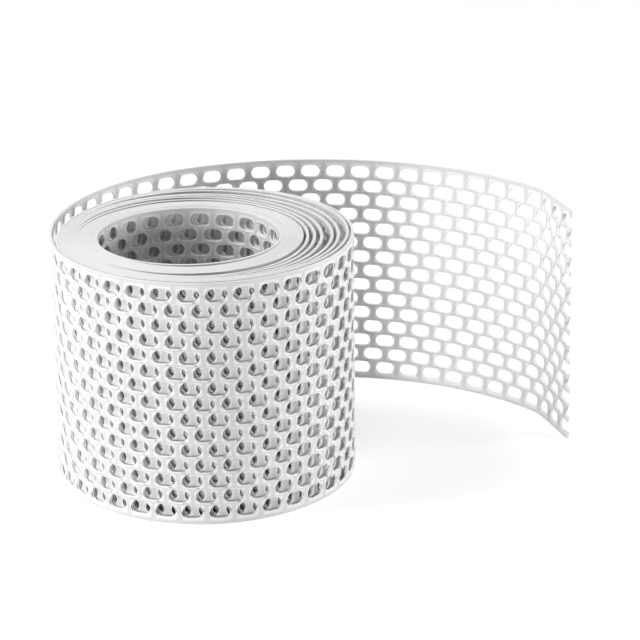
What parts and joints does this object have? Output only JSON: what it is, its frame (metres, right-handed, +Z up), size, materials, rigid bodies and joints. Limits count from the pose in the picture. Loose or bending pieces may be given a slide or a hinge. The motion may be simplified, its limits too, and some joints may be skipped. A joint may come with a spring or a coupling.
{
  "type": "eaves vent bird guard strip",
  "caption": "Perforated plastic strip wound into a roll that stands on its end, with a long free end sweeping round behind it.",
  "frame": {"origin": "axis of the roll's bore, on the plane that the roll stands on", "axes": "+Z up along the bore's axis, +X from the bore towards the side where the turns stand loose and the strip's free end lies, square to the flat at the cut"},
  "size_m": [0.2122, 0.1554, 0.1],
  "materials": {
    "pvc": "white rigid PVC, matte, with clean punched edges"
  },
  "bodies": {
    "root": {"vent_strip": "pvc"}
  },
  "joints": []
}
